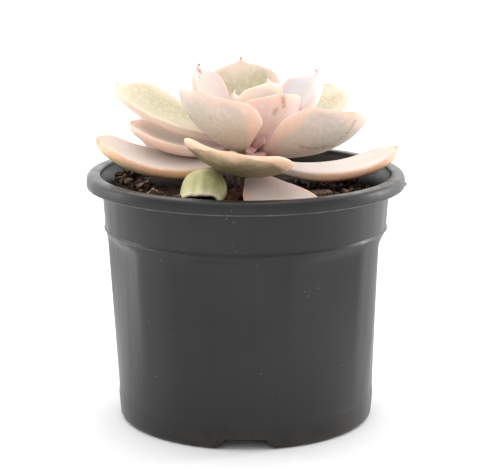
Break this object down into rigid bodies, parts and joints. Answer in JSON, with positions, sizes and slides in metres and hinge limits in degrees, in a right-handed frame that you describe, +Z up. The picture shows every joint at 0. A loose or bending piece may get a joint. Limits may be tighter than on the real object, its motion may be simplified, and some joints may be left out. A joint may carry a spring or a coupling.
{
  "type": "potted succulent",
  "caption": "Rosette succulent with thick pale pointed leaves on a short stem, growing in soil in a round tapered dark plastic nursery pot with a rolled lip.",
  "frame": {"origin": "on the pot's axis, at the height of its foot ring's lowest face, which is the middle of the bounding box's bottom", "axes": "+Z up along the pot's axis, +X to the plant's right as usually seen, -Y towards the viewer"},
  "size_m": [0.105, 0.105, 0.1173],
  "materials": {
    "pot_plastic": "satin",
    "soil": "matte",
    "stem": "matte",
    "leaf_outer": "satin",
    "leaf_mid": "satin",
    "leaf_inner": "satin",
    "leaf_bud": "satin",
    "leaf_old": "satin",
    "leaf_dried": "matte",
    "bark": "matte",
    "stalk": "matte"
  },
  "bodies": {
    "root": {"pot": "pot_plastic", "soil": "soil", "stem": "stem", "leaf_outer_right": "leaf_outer", "leaf_outer_left": "leaf_outer", "leaf_outer_back_left": "leaf_outer", "leaf_outer_back": "leaf_outer", "leaf_outer_droop": "leaf_outer", "leaf_front": "leaf_outer", "leaf_left_low": "leaf_mid", "leaf_left_high": "leaf_mid", "leaf_right_front": "leaf_mid", "leaf_right_back": "leaf_mid", "leaf_back_mid": "leaf_mid", "leaf_inner_right": "leaf_inner", "leaf_inner_front": "leaf_inner", "leaf_inner_front_right": "leaf_inner", "leaf_inner_back": "leaf_inner", "leaf_inner_left": "leaf_inner", "leaf_small_front": "leaf_inner", "leaf_bud_front": "leaf_bud", "leaf_bud_left": "leaf_bud", "leaf_bud_back": "leaf_bud", "leaf_bud_core_a": "leaf_bud", "leaf_bud_core_b": "leaf_bud", "leaf_bud_core_c": "leaf_bud", "leaf_stump": "leaf_old", "leaf_dried": "leaf_dried", "bark_chip": "bark", "dry_stalk_a": "stalk", "dry_stalk_b": "stalk"}
  },
  "joints": []
}
